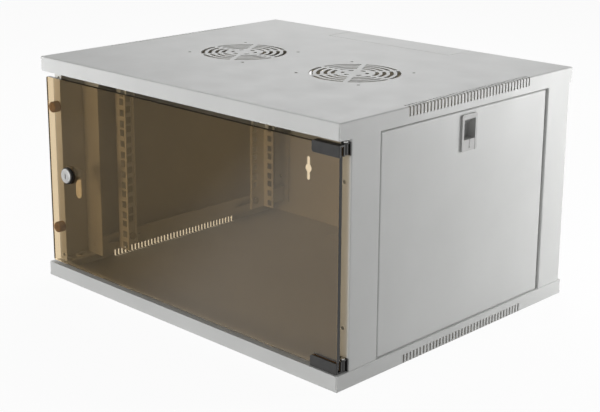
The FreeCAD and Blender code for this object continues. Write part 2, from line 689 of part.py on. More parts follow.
def make_side_panel():
    """A tray with flanges turned inwards, two feet for the base cover and the latch's cut-out."""
    body = new_body("side_panel_right")
    sketch = new_sketch(body, "YZ", PANEL_OUT + " - panel_flange")
    rectangle(sketch, PANEL_FRONT, PANEL_REAR, "lip", PANEL_TOP)
    tray = add_pad(body, sketch, "panel_flange")
    outer = amount(PANEL_OUT)
    round_edges(body, tray, lambda edge: abs(edge.CenterOfMass.x - outer) < 0.01, "panel_round")
    cut_rectangles(body, "YZ", PANEL_OUT + " - plate", "panel_flange - plate", [
        (PANEL_FRONT + " + plate", PANEL_REAR + " - plate", "lip + plate", PANEL_TOP + " - plate")])
    feet = new_sketch(body, "XY", "lip - foot_long")
    for start in FOOT_STARTS:
        rectangle(feet, PANEL_OUT + " - panel_flange + foot_in - plate",
                  PANEL_OUT + " - panel_flange + foot_in", start, start + " + foot_wide")
    add_pad(body, feet, "foot_long")
    cut_rectangles(body, "YZ", PANEL_OUT, "plate", [
        (LATCH_FRONT + " + latch_rim", LATCH_REAR + " - latch_rim",
         "latch_low + latch_rim", LATCH_TOP + " - latch_rim")])
    mirrored("side_panel_left", body)


def make_rear_panel():
    """The wall side: a plate on the rear columns with four double-ended keyholes."""
    body = new_body("rear_panel")
    sketch = new_sketch(body, "XZ", "-(depth - plate)")
    rectangle(sketch, "-%s + rear_side_gap" % COLUMN_OUT, COLUMN_OUT + " - rear_side_gap",
              "lip + rear_gap", "height - lip - rear_gap")
    add_pad(body, sketch, "plate")
    spots = [(sign + "key_across", z) for sign in ("", "-") for z in ("key_low", "key_high")]
    level = "-(depth - 2 * plate)"
    cut_circles(body, "XZ", level, "plate", spots, "key_round")
    slots = new_sketch(body, "XZ", level)
    for x, z in spots:
        straight_slot(slots, x, z, "key_long", "key_slot", upright=True)
    add_pocket(body, slots, "plate")
    cut_circles(body, "XZ", level, "plate",
                [(sign + SILL_SCREW_X, z) for sign in ("", "-") for z in PANEL_SCREW_Z],
                "small_bolt + bolt_fit")


# ---------------------------------------------------------------- side panel latch

CAVITY_Y = ("(%s + latch_rim + latch_wall)" % LATCH_FRONT, "(%s - latch_rim - latch_wall)" % LATCH_REAR)
CAVITY_Z = ("(latch_low + latch_rim + latch_wall)", "(%s - latch_rim - latch_wall)" % LATCH_TOP)
LATCH_FACE = "(%s + latch_proud)" % PANEL_OUT
LATCH_BACK = "(%s - latch_back)" % PANEL_OUT
SPRING_TOP = "(%s + spring_long)" % CAVITY_Z[0]
SPRING_X = "((%s + latch_wall + %s - tongue_thick / 2) / 2)" % (LATCH_BACK, TONGUE_X)
TONGUE = ("(%s - tongue_thick / 2)" % TONGUE_X, "(%s + tongue_thick / 2)" % TONGUE_X)


def make_latch_housing():
    """A moulded cup: a rim outside the panel, a scooped window, and a slot for the tongue."""
    way = FreeCAD.Vector(1, 0, 0)
    rim = block((PANEL_OUT, LATCH_FACE), (LATCH_FRONT, LATCH_REAR), ("latch_low", LATCH_TOP))
    rim = beveled(rim, lambda edge: runs_along(edge, way), "latch_round", rounded=True)
    cup = block((LATCH_BACK, PANEL_OUT), (LATCH_FRONT + " + latch_rim", LATCH_REAR + " - latch_rim"),
                ("latch_low + latch_rim", LATCH_TOP + " - latch_rim"))
    cavity = block((LATCH_BACK + " + latch_wall", LATCH_FACE + " + 1"), CAVITY_Y, CAVITY_Z)
    track = block((PANEL_OUT, LATCH_FACE + " + 1"), CAVITY_Y, ("latch_low - 1", CAVITY_Z[0] + " + 1"))
    slot = block((TONGUE[0] + " - foot_gap", TONGUE[1] + " + foot_gap"),
                 ("latch_mid - tongue_wide / 2 - foot_gap", "latch_mid + tongue_wide / 2 + foot_gap"),
                 (CAVITY_Z[1] + " - 1", LATCH_TOP))
    shell = without(joined([rim, cup]), [cavity, track, slot])
    scoop = block((PANEL_OUT + " - scoop_deep", LATCH_FACE), CAVITY_Y,
                  (CAVITY_Z[1] + " - scoop_tall", CAVITY_Z[1]))
    hollow = rod("y", (LATCH_FACE + " + scoop_out", CAVITY_Z[1] + " - scoop_radius - scoop_down"),
                 (CAVITY_Y[0] + " - 1", CAVITY_Y[1] + " + 1"), "scoop_radius")
    housing = keep("latch_housing_right", joined([shell, without(scoop, [hollow])]))
    mirrored("latch_housing_left", housing)


def make_latch_slider():
    """The thumb tab, its ledge in the window, and the plate whose tongue holds the top cover."""
    side_y = (CAVITY_Y[0] + " + latch_gap", CAVITY_Y[1] + " - latch_gap")
    low = "(latch_low + latch_gap)"
    top = "(%s + tab_tall)" % low
    tab = block((PANEL_OUT + " + latch_gap", LATCH_FACE + " - latch_gap"), side_y, (low, top))
    ledge = block((TONGUE[1], PANEL_OUT + " + latch_gap"), side_y, (top + " - ledge", top))
    plate = block(TONGUE, side_y, (top + " - ledge", SPRING_TOP + " + tongue_foot"))
    tongue = block(TONGUE, ("latch_mid - tongue_wide / 2", "latch_mid + tongue_wide / 2"),
                   (SPRING_TOP + " + tongue_foot", "height - lip + plate + tongue_catch"))
    tongue = beveled(tongue, lambda edge: edge.CenterOfMass.z > amount("height - lip + 2 * plate")
                     and runs_along(edge, FreeCAD.Vector(0, 1, 0))
                     and edge.CenterOfMass.x > amount(TONGUE_X), "tongue_thick / 2")
    shelf = block((LATCH_BACK + " + latch_wall + latch_gap", TONGUE[0]),
                  ("latch_mid - tongue_wide / 3", "latch_mid + tongue_wide / 3"),
                  (SPRING_TOP, SPRING_TOP + " + shelf"))
    face = LATCH_FACE + " - latch_gap"
    line = block((face + " - mark_deep", face + " + 1"),
                 ("latch_mid - mark_half", "latch_mid + mark_half"),
                 (low + " + tab_tall / 2", top + " + 1"))
    arrow = doc.addObject("Part::Prism", "Arrow")
    arrow.Polygon = 3
    bind(arrow, "Circumradius", "tab_tall / 7")
    bind(arrow, "Height", "mark_deep + 1")
    arrow.Placement = FreeCAD.Placement(ZERO, TURNS["x"])
    for place, text in zip("xyz", (face + " - mark_deep", "latch_mid", low + " + tab_tall / 3")):
        bind(arrow, "Placement.Base." + place, text)
    slider = without(joined([tab, ledge, plate, tongue, shelf]), [line, arrow])
    keep("latch_slider_right", slider)
    mirrored("latch_slider_left", slider)


def make_latch_spring():
    """The return spring's envelope, a thin sleeve between the cup's floor and the shelf."""
    outer = rod("z", (SPRING_X, "latch_mid"), (CAVITY_Z[0], SPRING_TOP), "spring_radius")
    inner = rod("z", (SPRING_X, "latch_mid"), (CAVITY_Z[0] + " - 1", SPRING_TOP + " + 1"),
                "spring_radius - spring_wire")
    spring = keep("latch_spring_right", without(outer, [inner]))
    mirrored("latch_spring_left", spring)


# ---------------------------------------------------------------- glass door and hinge

GLASS_BACK = "(glass_front + glass)"
CLAMP_START = "(clamp_end - clamp_long)"
CLAMP_TOP = tuple("(%s + clamp_tall)" % low for low in CLAMP_LOW)
CLAMP_FRONT = "(glass_front - pad - clamp_wall)"
PAD_BACK = "(%s + pad)" % GLASS_BACK
CLAMP_BACK = "(%s + clamp_wall)" % PAD_BACK
SET_SCREW_X = ("(%s + clamp_long / 4)" % CLAMP_START, "(%s + clamp_long * 0.6)" % CLAMP_START)


def make_glass_door():
    body = new_body("glass_door")
    sketch = new_sketch(body, "XZ", "-glass_front")
    rectangle(sketch, "-glass_half", "glass_half", "glass_low", "glass_high")
    circle(sketch, "-lock_across", "lock_up", "barrel + bolt_fit")
    glass = add_pad(body, sketch, "glass", backwards=True)
    round_edges(body, glass, lambda edge: runs_along(edge, FreeCAD.Vector(0, 1, 0)), "glass_corner")


def make_clamp(label, low, top, upper):
    """A U over the glass edge, with the hinge's knuckle on its back plate."""
    span = (low, top)
    front = block((CLAMP_START, "clamp_end"), (CLAMP_FRONT, CLAMP_FRONT + " + clamp_wall"), span)
    free_z, start, end, face = amount(low if upper else top), amount(CLAMP_START), \
        amount("clamp_end"), amount(CLAMP_FRONT)

    def free_corner(edge):
        middle = edge.CenterOfMass
        return (runs_along(edge, FreeCAD.Vector(0, 1, 0)) and abs(middle.z - free_z) < 0.01
                and abs(middle.x - start) < 0.01)
    front = beveled(front, free_corner, "clamp_round", rounded=True)
    front = beveled(front, lambda edge: runs_along(edge, UP) and abs(edge.CenterOfMass.x - end) < 0.01
                    and abs(edge.CenterOfMass.y - face) < 0.01, "clamp_bevel")
    rear = block((CLAMP_START, "clamp_back_end"), (PAD_BACK, CLAMP_BACK), span)
    web_z = (top + " - clamp_wall", top) if upper else (low, low + " + clamp_wall")
    web = block((CLAMP_START, "clamp_back_end"), (CLAMP_FRONT + " + clamp_wall", PAD_BACK), web_z)
    axis = ("hinge_across", "hinge_back")
    knuckle = rod("z", axis, (low + " + knuckle_rise", top), "knuckle")
    holes = [rod("z", axis, (low, top + " + 1"), "pin + pin_fit")]
    middle = "(%s + %s) / 2" % (low, top)
    for x in SET_SCREW_X:
        holes.append(rod("y", (x, middle), (PAD_BACK + " - 0.1", CLAMP_BACK + " + 1"),
                         "set_screw + pin_fit"))
    keep(label, without(joined([front, rear, web, knuckle]), holes))


def make_hinges():
    pads = []
    screws = []
    bracket_screws = []
    for index, name in enumerate(("lower", "upper")):
        low, top, upper = CLAMP_LOW[index], CLAMP_TOP[index], index == 1
        make_clamp("hinge_clamp_" + name, low, top, upper)
        pad_z = (low + " + pad_inset", "glass_high") if upper else ("glass_low", top + " - pad_inset")
        for y in (("glass_front - pad", "glass_front"), (GLASS_BACK, PAD_BACK)):
            pads.append(block((CLAMP_START + " + pad_inset", "glass_half"), y, pad_z))
        for x in SET_SCREW_X:
            screws.append(rod("y", (x, "(%s + %s) / 2" % (low, top)), (PAD_BACK, CLAMP_BACK + " + bolt_end"),
                              "set_screw"))
        ear = (EAR_LOW[index], EAR_LOW[index] + " + ear_tall")
        seat = "column_front - plate"
        plate = block((COLUMN_OUT + " - bracket_wide", COLUMN_OUT), (seat, "column_front"),
                      (BRACKET_LOW[index], ear[1]))
        arm = block(("hinge_across - knuckle", "hinge_across + knuckle"), ("hinge_back", seat), ear)
        nose = rod("z", ("hinge_across", "hinge_back"), ear, "knuckle")
        bore = rod("z", ("hinge_across", "hinge_back"), (ear[0] + " - 1", ear[1] + " + 1"),
                   "pin + pin_fit")
        screw_z = BRACKET_LOW[index] + " + bracket_tall / 2"
        hole = rod("y", (BRACKET_SCREW_X, screw_z), (seat + " - 1", "column_front + 1"),
                   "bracket_screw + bolt_fit")
        keep("hinge_bracket_" + name, without(joined([plate, arm, nose]), [bore, hole]))
        axis = ("hinge_across", "hinge_back")
        shank = rod("z", axis, (low + " + pin_rise", ear[1] + " + pin_fit"), "pin")
        head = rod("z", axis, (ear[1] + " + pin_fit", ear[1] + " + pin_fit + pin_head_tall"), "pin_head")
        keep("hinge_pin_" + name, joined([shank, head]))
        bracket_screws.append(bolt("y", (BRACKET_SCREW_X, screw_z), seat, "+", "bracket_screw",
                                   "bracket_head", "bracket_head_tall", "2 * plate + screw_end"))
    group("clamp_pads", pads)
    group("clamp_set_screws", screws)
    group("bracket_screws", bracket_screws)


# ---------------------------------------------------------------- lock

def make_lock():
    """A cam lock: the cam hangs down when open and turns behind the left column when locked."""
    at = ("-lock_across", "lock_up")
    neck = "(lock_flange_thick - lock_proud)"
    flange = rod("y", at, ("-lock_proud", neck), "lock_flange")
    rim = amount("-lock_proud")
    flange = beveled(flange, lambda edge: abs(edge.CenterOfMass.y - rim) < 0.01
                     and isinstance(edge.Curve, Part.Circle), "lock_flange_thick / 3")
    barrel = rod("y", at, (neck, "barrel_end"), "barrel")
    bore = rod("y", at, ("-lock_proud - 1", "barrel_end + 1"), "plug + plug_fit")
    keep("lock_body", without(joined([flange, barrel]), [bore]))
    ring = rod("y", at, (neck, "glass_front"), "collar")
    keep("lock_collar", without(ring, [rod("y", at, (neck + " - 1", "glass_front + 1"),
                                           "barrel + pin_fit")]))
    nut = hexagon("y", at, (GLASS_BACK, GLASS_BACK + " + lock_nut_thick"), "lock_nut_flats")
    keep("lock_nut", without(nut, [rod("y", at, (GLASS_BACK + " - 1",
                                                 GLASS_BACK + " + lock_nut_thick + 1"),
                                       "barrel + pin_fit")]))
    cam_back = "(cam_front + cam_thick)"
    plug = joined([rod("y", at, ("-lock_proud", "cam_front"), "plug"),
                   rod("y", at, ("cam_front", cam_back), "post")])
    key = block(("-lock_across - key_wide / 2", "-lock_across + key_wide / 2"),
                ("-lock_proud - 1", "key_deep"), ("lock_up - key_tall / 2", "lock_up + key_tall / 2"))
    thread = rod("y", at, ("cam_front - cam_thread - bolt_end", cam_back + " + 1"), "set_screw")
    keep("lock_plug", without(plug, [key, thread]))
    tip = "(lock_up - cam_long + cam_wide / 2)"
    arm = block(("-lock_across - cam_wide / 2", "-lock_across + cam_wide / 2"), ("cam_front", cam_back),
                (tip, "lock_up"))
    ends = [rod("y", ("-lock_across", z), ("cam_front", cam_back), "cam_wide / 2")
            for z in (tip, "lock_up")]
    hole = rod("y", at, ("cam_front - 1", cam_back + " + 1"), "post + pin_fit")
    keep("lock_cam", without(joined([arm] + ends), [hole]))
    keep("cam_screw", bolt("y", at, cam_back, "-", "set_screw - pin_fit", "cam_head",
                           "cam_head_tall", "cam_thick + cam_thread"))


# ---------------------------------------------------------------- fasteners and bumpers

def bolt(way, at, seat, toward, shank, head, head_tall, length):
    """A bolt whose head stands on seat and whose shank runs towards + or - along its axis."""
    away = "-" if toward == "+" else "+"
    spans = []
    for sign, reach in ((away, head_tall), (toward, length)):
        end = "(%s) %s (%s)" % (seat, sign, reach)
        spans.append((end, seat) if sign == "-" else (seat, end))
    return joined([rod(way, at, spans[0], head), rod(way, at, spans[1], shank)])


def make_frame_bolts():
    """Bolts through the columns' end tabs and the covers' side flanges, with their nuts."""
    bolts = []
    nuts = []
    for sign in ("", "-"):
        for y in TAB_BOLT_Y:
            at = (sign + TAB_BOLT_X, y)
            length = "2 * plate + small_nut_tall + bolt_end"
            bolts.append(bolt("z", at, "lip + plate", "-", "small_bolt", "small_head",
                              "small_head_tall", length))
            bolts.append(bolt("z", at, "height - lip - plate", "+", "small_bolt", "small_head",
                              "small_head_tall", length))
            for span in (("lip - plate - small_nut_tall", "lip - plate"),
                         ("height - lip + plate", "height - lip + plate + small_nut_tall")):
                nut = hexagon("z", at, span, "small_nut_flats")
                bore = rod("z", at, (span[0] + " - 1", span[1] + " + 1"), "small_bolt + nut_fit")
                nuts.append(without(nut, [bore]))
    group("frame_bolts", bolts)
    group("frame_nuts", nuts)


def make_screws():
    """Sill screws into the columns' wings and low-headed screws that hold the rear panel."""
    sill_screws = []
    panel_screws = []
    for sign in ("", "-"):
        for low in SILL_LOW:
            at = (sign + SILL_SCREW_X, low + " + sill_tall / 2")
            for seat, toward in (("column_front + column_deep + plate", "-"),
                                 ("depth - 4 * plate", "+")):
                sill_screws.append(bolt("y", at, seat, toward, "small_bolt", "small_head",
                                        "small_head_tall", "2 * plate"))
        for z in PANEL_SCREW_Z:
            panel_screws.append(bolt("y", (sign + SILL_SCREW_X, z), "depth - plate", "-", "small_bolt",
                                     "small_head", "low_head_tall", "2 * plate + screw_end"))
    group("sill_screws", sill_screws)
    group("rear_panel_screws", panel_screws)


def make_bumpers():
    """Two rubber bumpers pressed into the left column's face, where the closed door rests."""
    bumpers = []
    front = GLASS_BACK + " + bumper_gap"
    for z in ("bumper_low", "bumper_high"):
        at = ("-bumper_across", z)
        pad = rod("y", at, (front, "column_front"), "bumper")
        tip = amount(front)
        pad = beveled(pad, lambda edge: abs(edge.CenterOfMass.y - tip) < 0.01
                      and isinstance(edge.Curve, Part.Circle), "bumper / 4", rounded=True)
        stem = rod("y", at, ("column_front", "column_front + plate + stem_end"), "bumper_stem")
        bumpers.append(joined([pad, stem]))
    group("door_bumpers", bumpers)


# ---------------------------------------------------------------- build and write

make_top_cover()
make_base_cover()
make_columns()
make_sills()
for end_name in RAILS:
    make_rail(end_name)
make_side_panel()
make_rear_panel()
make_latch_housing()
make_latch_slider()
make_latch_spring()
make_glass_door()
make_hinges()
make_lock()
make_frame_bolts()
make_screws()
make_bumpers()
doc.recompute()

faults = ["%s %s" % (thing.Name, thing.State) for thing in doc.Objects
          if "Invalid" in thing.State or "Error" in thing.State]
for label, thing in nodes.items():
    if thing.Shape.isNull() or not thing.Shape.isValid() or not thing.Shape.Solids:
        faults.append(label + " has no valid solid")
if faults:
    raise RuntimeError("; ".join(faults))

os.makedirs("parts", exist_ok=True)
for label, thing in nodes.items():
    thing.Shape.exportStep("parts/%s.step" % label)
print(len(nodes), "nodes written")
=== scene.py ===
import json
import math

import bmesh
import bpy
from mathutils import Matrix, Vector


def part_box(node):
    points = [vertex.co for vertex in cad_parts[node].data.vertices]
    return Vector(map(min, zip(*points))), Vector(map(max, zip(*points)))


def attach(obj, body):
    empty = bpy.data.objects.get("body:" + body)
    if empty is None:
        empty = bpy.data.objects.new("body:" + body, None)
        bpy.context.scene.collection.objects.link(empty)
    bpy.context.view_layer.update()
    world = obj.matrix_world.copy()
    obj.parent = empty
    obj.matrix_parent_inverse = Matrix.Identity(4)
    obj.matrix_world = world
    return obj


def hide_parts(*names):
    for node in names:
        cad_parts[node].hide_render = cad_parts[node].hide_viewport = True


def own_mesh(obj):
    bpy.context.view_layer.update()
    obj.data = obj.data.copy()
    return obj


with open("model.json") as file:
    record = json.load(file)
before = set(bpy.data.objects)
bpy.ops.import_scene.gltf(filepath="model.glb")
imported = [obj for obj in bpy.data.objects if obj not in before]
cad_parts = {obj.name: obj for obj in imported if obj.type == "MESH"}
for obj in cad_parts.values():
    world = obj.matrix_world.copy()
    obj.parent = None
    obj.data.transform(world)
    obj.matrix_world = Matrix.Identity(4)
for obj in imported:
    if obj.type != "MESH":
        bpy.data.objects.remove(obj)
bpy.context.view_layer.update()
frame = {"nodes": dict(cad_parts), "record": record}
nodes = frame["nodes"]
MM = 0.001
FRONT_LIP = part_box("base_cover")[0].y


# ---------------------------------------------------------------- shader helpers

def math_node(tree, operation, *values):
    """The result of a math node over sockets or plain numbers."""
    node = tree.nodes.new("ShaderNodeMath")
    node.operation = operation
    for place, value in zip(node.inputs, values):
        if isinstance(value, (int, float)):
            place.default_value = value
        else:
            tree.links.new(value, place)
    return node.outputs["Value"]


def mix_shaders(tree, factor, first, second, output="Material Output"):
    """Sends a mix of two shaders to the tree's output: first at 0 and second at 1."""
    mix = tree.nodes.new("ShaderNodeMixShader")
    tree.links.new(factor, mix.inputs["Fac"])
    tree.links.new(first, mix.inputs[1])
    tree.links.new(second, mix.inputs[2])
    tree.links.new(mix.outputs["Shader"], tree.nodes[output].inputs["Surface"])


class Shader:
    """A material under construction: makes nodes and links them by name.

    Color and roughness are the plain values under the patterns that each material links.
    """

    def __init__(self, name, color, roughness, metallic=0.0):
        self.material = bpy.data.materials.new(name)
        self.material.use_nodes = True
        self.tree = self.material.node_tree
        self.main = self.tree.nodes["Principled BSDF"]
        self.main.inputs["Base Color"].default_value = (*color, 1)
        self.main.inputs["Roughness"].default_value = roughness
        self.main.inputs["Metallic"].default_value = metallic
        self.where = self.tree.nodes.new("ShaderNodeTexCoord").outputs["Object"]

    def node(self, kind, **settings):
        node = self.tree.nodes.new(kind)
        for name, value in settings.items():
            setattr(node, name, value)
        return node

    def link(self, source, target):
        self.tree.links.new(source, target)

    def noise(self, scale, detail=3.0, stretch=(1, 1, 1), roughness=0.5):
        """Noise over the object, with the given number of features per metre."""
        mapping = self.node("ShaderNodeMapping")
        mapping.inputs["Scale"].default_value = stretch
        self.link(self.where, mapping.inputs["Vector"])
        noise = self.node("ShaderNodeTexNoise")
        noise.inputs["Scale"].default_value = scale
        noise.inputs["Detail"].default_value = detail
        noise.inputs["Roughness"].default_value = roughness
        self.link(mapping.outputs["Vector"], noise.inputs["Vector"])
        return noise.outputs["Fac"]

    def spread(self, value, low=0.0, high=1.0, start=0.3, end=0.7):
        """Maps start..end of a value to low..high."""
        ramp = self.node("ShaderNodeMapRange")
        limits = {"From Min": start, "From Max": end, "To Min": low, "To Max": high}
        for name, number in limits.items():
            ramp.inputs[name].default_value = number
        self.link(value, ramp.inputs["Value"])
        return ramp.outputs["Result"]

    def weakened(self, mask, most):
        """Scales a 0..1 mask to 0..most."""
        return self.spread(mask, 0.0, most, start=0.0, end=1.0)

    def blend(self, factor, first, second):
        """Mixes two colours, each a tuple or a socket."""
        mix = self.node("ShaderNodeMix", data_type="RGBA")
        self.link(factor, mix.inputs[0])
        for socket, color in ((mix.inputs[6], first), (mix.inputs[7], second)):
            if isinstance(color, tuple):
                socket.default_value = (*color, 1)
            else:
                self.link(color, socket)
        return mix.outputs[2]

    def mottled(self, scale, first, second):
        """Soft clouds of two colours."""
        return self.blend(self.spread(self.noise(scale, detail=4)), first, second)

    def edges(self, radius):
        """Near 1 along sharp edges and 0 on flat faces."""
        bevel = self.node("ShaderNodeBevel", samples=4)
        bevel.inputs["Radius"].default_value = radius
        plain = self.node("ShaderNodeNewGeometry").outputs["Normal"]
        dot = self.node("ShaderNodeVectorMath", operation="DOT_PRODUCT")
        self.link(bevel.outputs["Normal"], dot.inputs[0])
        self.link(plain, dot.inputs[1])
        return self.spread(dot.outputs["Value"], 1.0, 0.0, start=0.82, end=0.995)

    def bump(self, height, strength, distance, base=None):
        """Adds relief, on top of another bump's normal where one is given."""
        bump = self.node("ShaderNodeBump")
        bump.inputs["Strength"].default_value = strength
        bump.inputs["Distance"].default_value = distance
        self.link(height, bump.inputs["Height"])
        if base is not None:
            self.link(base, bump.inputs["Normal"])
        self.link(bump.outputs["Normal"], self.main.inputs["Normal"])
        return bump.outputs["Normal"]

    def set_color(self, socket):
        self.link(socket, self.main.inputs["Base Color"])

    def set_roughness(self, socket):
        self.link(socket, self.main.inputs["Roughness"])


def scaled(color, factor):
    return tuple(min(1.0, channel * factor) for channel in color)


# ---------------------------------------------------------------- materials

def powder_coat(name, color, roughness, edge_wear_and_highlight=0.5):
    """Oven-cured powder paint: fine orange peel, faint handling marks, and lighter edges that are
    partly worn paint and partly a painted highlight on the folds.
    """
    paint = Shader(name, color, roughness)
    tone = paint.mottled(9, scaled(color, 0.97), scaled(color, 1.03))
    speckle = paint.spread(paint.noise(1500, detail=2), start=0.35, end=0.65)
    tone = paint.blend(paint.weakened(speckle, 0.10), tone, scaled(color, 1.2))
    # Lighter patches along the edges: partly worn paint, partly a painted highlight standing in
    # for light on the rounded folds.
    rub_and_highlight = paint.spread(paint.noise(60, detail=4), 0.0, edge_wear_and_highlight, start=0.45)
    worn_and_highlit_edges = math_node(paint.tree, "MULTIPLY", paint.edges(0.9 * MM), rub_and_highlight)
    paint.set_color(paint.blend(worn_and_highlit_edges, tone, scaled(color, 1.35)))
    smears = paint.noise(26, detail=5, stretch=(1, 1, 0.35), roughness=0.6)
    paint.set_roughness(paint.spread(smears, roughness - 0.06, roughness + 0.09))
    peel = paint.bump(paint.noise(650, detail=2), strength=0.10, distance=0.12 * MM)
    paint.bump(paint.noise(2400, detail=2), strength=0.12, distance=0.05 * MM, base=peel)
    paint.main.inputs["Specular IOR Level"].default_value = 0.38
    return paint.material


def plated_steel(name, color, roughness):
    """Zinc plated or turned steel with fine grain and small darker stains."""
    steel = Shader(name, color, roughness, metallic=1.0)
    grains = steel.noise(320, stretch=(1, 1, 14))
    stains = steel.spread(steel.noise(120, detail=5), start=0.42, end=0.68)
    tone = steel.blend(steel.spread(grains), scaled(color, 0.86), scaled(color, 1.08))
    steel.set_color(steel.blend(steel.weakened(stains, 0.35), tone, scaled(color, 0.6)))
    steel.set_roughness(steel.spread(grains, roughness - 0.07, roughness + 0.12))
    steel.bump(grains, strength=0.18, distance=0.05 * MM)
    return steel.material


def moulded_plastic(name, color, roughness):
    """Moulded plastic with a spark-eroded grain and lighter edges, partly rubbed and partly a
    painted highlight.
    """
    plastic = Shader(name, color, roughness)
    tone = plastic.mottled(45, scaled(color, 0.94), scaled(color, 1.05))
    # Lighter edges: partly rubbed plastic, partly a painted highlight.
    rubbed_and_highlit = plastic.weakened(plastic.edges(0.5 * MM), 0.35)
    plastic.set_color(plastic.blend(rubbed_and_highlit, tone, scaled(color, 1.3)))
    plastic.set_roughness(plastic.spread(plastic.noise(160), roughness - 0.07, roughness + 0.1))
    plastic.bump(plastic.noise(2600, detail=2), strength=0.22, distance=0.06 * MM)
    return plastic.material


def satin_black(name):
    """Black finish on the hinge clamps and brackets, greyer along its edges: partly rubbed
    finish, partly a painted highlight.
    """
    black = Shader(name, (0.014, 0.014, 0.014), 0.36)
    tone = black.mottled(90, (0.010, 0.010, 0.010), (0.022, 0.021, 0.020))
    # Greyer edges: partly rubbed finish, partly a painted highlight on the bevels.
    rubbed_and_highlit = black.weakened(black.edges(0.6 * MM), 0.4)
    black.set_color(black.blend(rubbed_and_highlit, tone, (0.09, 0.09, 0.085)))
    black.set_roughness(black.spread(black.noise(200), 0.28, 0.46))
    black.bump(black.noise(1300, detail=2), strength=0.15, distance=0.06 * MM)
    return black.material


def chrome(name):
    """Satin chrome plate with fine scuffs."""
    bright = Shader(name, (0.70, 0.70, 0.69), 0.36, metallic=1.0)
    scuffs = bright.noise(420, detail=4, stretch=(1, 1, 5))
    bright.set_color(bright.mottled(260, (0.74, 0.74, 0.73), (0.63, 0.63, 0.62)))
    bright.set_roughness(bright.spread(scuffs, 0.32, 0.44))
    bright.bump(scuffs, strength=0.06, distance=0.03 * MM)
    return bright.material


def rubber(name):
    """Amber brown moulded rubber, as the door bumpers look through the glass."""
    soft = Shader(name, (0.29, 0.17, 0.075), 0.7)
    soft.set_color(soft.mottled(220, (0.24, 0.14, 0.06), (0.34, 0.20, 0.09)))
    soft.set_roughness(soft.spread(soft.noise(400), 0.62, 0.88))
    soft.bump(soft.noise(1800, detail=2), strength=0.25, distance=0.08 * MM)
    return soft.material


def bronze_glass(name):
    """Body-tinted float glass: see-through to light and shadow, with a darker cut edge.

    The face is told from the edge by the world's Y, which holds while the door is near closed.
    """
    tint = (0.80, 0.64, 0.42)
    edge_tone = (0.075, 0.060, 0.030)
    face_dimming = 0.75       # what one face lets through for light and shadow, over the tint
    glass = Shader(name, tint, 0.02)
    glass.main.inputs["Transmission Weight"].default_value = 1.0
    glass.main.inputs["IOR"].default_value = 1.5
    haze = glass.noise(14, detail=5, stretch=(1, 1, 0.6))
    glass.set_roughness(glass.spread(haze, 0.0, 0.035, start=0.45, end=0.75))
    normal = glass.node("ShaderNodeSeparateXYZ")
    glass.link(glass.node("ShaderNodeNewGeometry").outputs["True Normal"], normal.inputs[0])
    facing = math_node(glass.tree, "ABSOLUTE", normal.outputs["Y"])
    face_tone = glass.blend(glass.spread(haze), tint, scaled(tint, 0.97))
    face_share = glass.spread(facing, start=0.4, end=0.6)
    glass.set_color(glass.blend(face_share, edge_tone, face_tone))
    clear = glass.node("ShaderNodeBsdfTransparent")
    passed = (face_dimming * math.sqrt(channel) for channel in tint)
    clear.inputs["Color"].default_value = (*passed, 1)
    path = glass.node("ShaderNodeLightPath").outputs
    passing = math_node(glass.tree, "MAXIMUM", path["Is Shadow Ray"], path["Is Diffuse Ray"])
    mix_shaders(glass.tree, passing, glass.main.outputs["BSDF"], clear.outputs["BSDF"])
    return glass.material


SHEET_GREY = (0.60, 0.605, 0.595)
MATERIALS = {
    "body_grey": powder_coat("body_grey_coat", SHEET_GREY, roughness=0.46),
    # The rails' coat is lighter than the other sheet parts: painted light, standing in for the
    # front light that falls on the rails.
    "zinc_steel": powder_coat("rail_coat", (0.82, 0.82, 0.79), roughness=0.42, edge_wear_and_highlight=0.8),
    "bright_screw": plated_steel("zinc_plate", (0.66, 0.655, 0.64), roughness=0.32),
    "latch_plastic": moulded_plastic("latch_moulding", (0.47, 0.47, 0.46), roughness=0.5),
    "tinted_glass": bronze_glass("bronze_glass"),
    "black_metal": satin_black("satin_black_metal"),
    "hinge_steel": plated_steel("turned_steel", (0.55, 0.55, 0.54), roughness=0.28),
    "lock_chrome": chrome("lock_chrome_plate"),
    "soft_rubber": rubber("moulded_rubber"),
}
SLOT_OF = {part["node"]: part["material_slot"] for part in frame["record"]["subparts"]}


def dress_nodes():
    for name, thing in nodes.items():
        thing.data.materials.clear()
        thing.data.materials.append(MATERIALS[SLOT_OF[name]])


# ---------------------------------------------------------------- pieces made here

def new_piece(name, mesh, body, slot):
    piece = bpy.data.objects.new(name, mesh)
    bpy.context.scene.collection.objects.link(piece)
    mesh.materials.append(MATERIALS[slot])
    mesh.shade_smooth()
    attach(piece, body)
    return piece


def helix_rings(build, low, high, wire, turns, steps_per_turn, sections):
    """Rings of vertices round a wire that climbs inside a box."""
    middle = (low + high) / 2
    radius = (high.x - low.x) / 2 - wire
    steps = turns * steps_per_turn
    rings = []
    for step in range(steps + 1):
        share = step / steps
        angle = share * turns * math.tau
        rise = (high.z - low.z - 2 * wire) * share
        centre = Vector((middle.x, middle.y, low.z + wire + rise))
        out = Vector((math.cos(angle), math.sin(angle), 0))
        ring = []
        for section in range(sections):
            turn = section / sections * math.tau
            across = out * (radius + wire * math.cos(turn))
            ring.append(build.verts.new(centre + across + Vector((0, 0, wire * math.sin(turn)))))
        rings.append(ring)
    return rings


